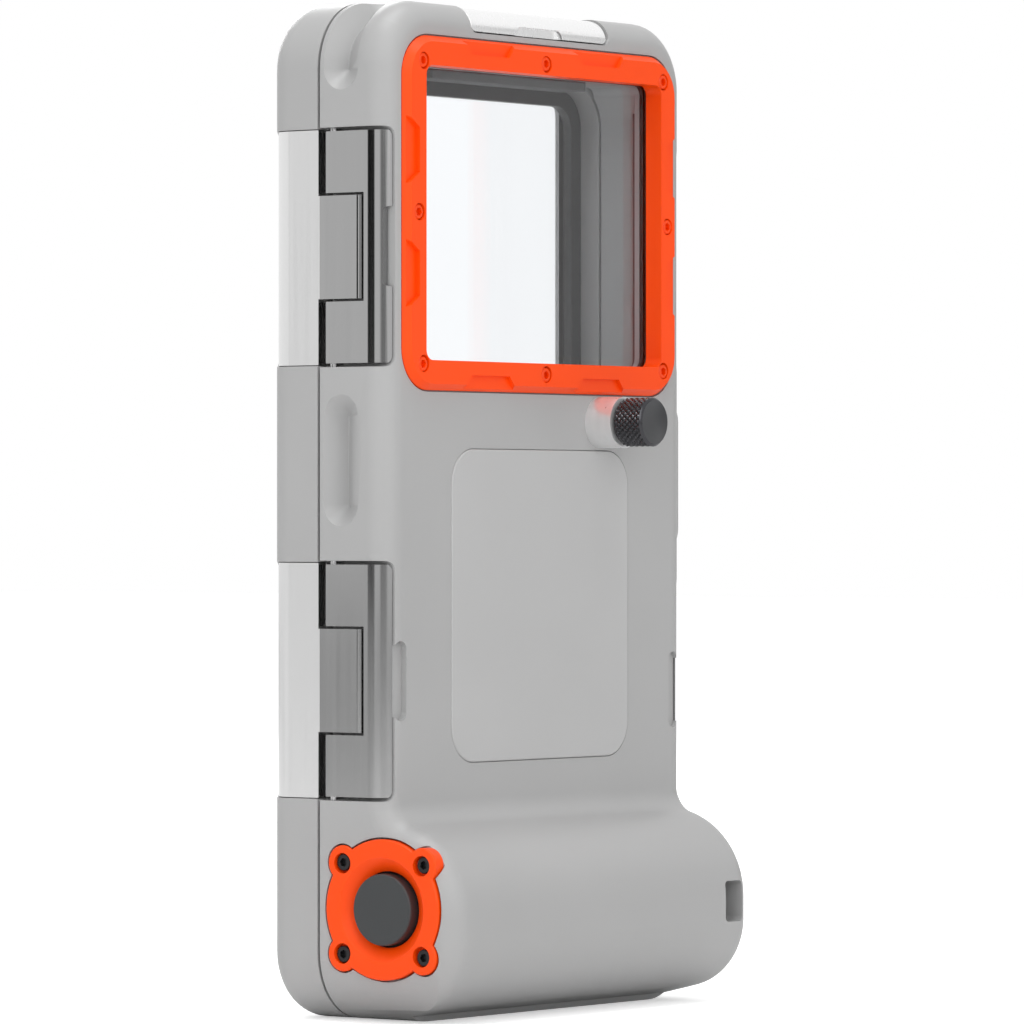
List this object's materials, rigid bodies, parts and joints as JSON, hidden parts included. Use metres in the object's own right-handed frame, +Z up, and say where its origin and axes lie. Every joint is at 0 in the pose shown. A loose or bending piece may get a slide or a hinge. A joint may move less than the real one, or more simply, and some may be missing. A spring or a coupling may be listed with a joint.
{
  "type": "waterproof phone case",
  "caption": "Upright grey waterproof phone case with a hinged cover, latch levers, an orange camera window bezel, a grip with a shutter button and an air valve.",
  "frame": {"origin": "under the middle of the case, on the surface that it stands on", "axes": "+Z up, -Y out of the screen window, +X towards the latches and the shutter button"},
  "size_m": [0.0998, 0.0448, 0.192],
  "materials": {
    "shell_grey": "satin moulded grey",
    "orange_plastic": "satin orange",
    "orange_screws": "painted orange",
    "panel_grey": "satin light grey",
    "metal_plate": "satin",
    "steel": "bright",
    "black_plastic": "matt black",
    "seal_rubber": "matt",
    "soft_pad": "soft matt foam rubber",
    "clear_pane": "clear",
    "dark_plate": "satin dark grey",
    "brass_insert": "machined",
    "dark_screws": "black",
    "button_dark": "satin dark grey",
    "board_green": "lacquered",
    "knurled_black": "gloss black, knurled"
  },
  "bodies": {
    "case": {"back_cushion": "soft_pad", "back_panel": "panel_grey", "bezel_screws": "orange_screws", "camera_bezel": "orange_plastic", "camera_gasket": "seal_rubber", "camera_window": "clear_pane", "cell_holder": "black_plastic", "circuit_board": "board_green", "coin_cell": "steel", "end_cushions": "soft_pad", "foot_lever_pins": "steel", "lower_hinge_pin": "steel", "lower_hinge_plate": "metal_plate", "lower_hinge_sleeve": "black_plastic", "lower_lever_pins": "steel", "push_switch": "black_plastic", "rear_shell": "shell_grey", "shutter_bezel": "orange_plastic", "shutter_membrane": "seal_rubber", "shutter_screws": "dark_screws", "top_lever_pins": "steel", "tripod_insert": "brass_insert", "tripod_plate": "dark_plate", "tripod_screws": "dark_screws", "upper_hinge_pin": "steel", "upper_hinge_plate": "metal_plate", "upper_hinge_sleeve": "black_plastic", "upper_lever_pins": "steel"},
    "cover": {"front_cover": "shell_grey", "touch_window": "clear_pane", "window_frame": "black_plastic", "main_seal": "seal_rubber", "upper_hinge_leaf": "metal_plate", "lower_hinge_leaf": "metal_plate", "upper_keeper": "metal_plate", "lower_keeper": "metal_plate", "top_keeper": "metal_plate", "foot_keeper": "metal_plate"},
    "upper_lever": {"upper_lever": "metal_plate"},
    "lower_lever": {"lower_lever": "metal_plate"},
    "top_lever": {"top_lever": "metal_plate"},
    "foot_lever": {"foot_lever": "metal_plate"},
    "shutter_button": {"shutter_button": "button_dark"},
    "valve_carrier": {"valve_seal": "seal_rubber"},
    "valve_knob": {"valve_knob": "knurled_black"}
  },
  "joints": [
    {"name": "cover_hinge", "type": "hinge", "parent": "case", "child": "cover", "pos_m": [-0.0468, 0.0008, 0.103], "axis": [0, 0, 1], "range_deg": [-110, 0]},
    {"name": "upper_lever_turn", "type": "hinge", "parent": "case", "child": "upper_lever", "pos_m": [0.047, -0.0075, 0.1454], "axis": [0, 0, 1], "range_deg": [-100, 0]},
    {"name": "lower_lever_turn", "type": "hinge", "parent": "case", "child": "lower_lever", "pos_m": [0.047, -0.0075, 0.0641], "axis": [0, 0, 1], "range_deg": [-100, 0]},
    {"name": "top_lever_turn", "type": "hinge", "parent": "case", "child": "top_lever", "pos_m": [0, -0.0075, 0.19], "axis": [1, 0, 0], "range_deg": [0, 90]},
    {"name": "foot_lever_turn", "type": "hinge", "parent": "case", "child": "foot_lever", "pos_m": [0, -0.0075, 0.002], "axis": [1, 0, 0], "range_deg": [-90, 0]},
    {"name": "shutter_press", "type": "slide", "parent": "case", "child": "shutter_button", "axis": [-1, 0, 0], "range_m": [0, 0.0015], "stiffness_N_per_m": 800},
    {"name": "valve_lift", "type": "slide", "parent": "case", "child": "valve_carrier", "axis": [0, 1, 0], "range_m": [0, 0.0015]},
    {"name": "valve_turn", "type": "hinge", "parent": "valve_carrier", "child": "valve_knob", "pos_m": [-0.0195, 0.0124, 0.1132], "axis": [0, -1, 0], "range_deg": [0, 540]}
  ],
  "couplings": [
    {"joint": "valve_turn", "follows": "valve_lift", "rad_per_m": 6283.2}
  ]
}
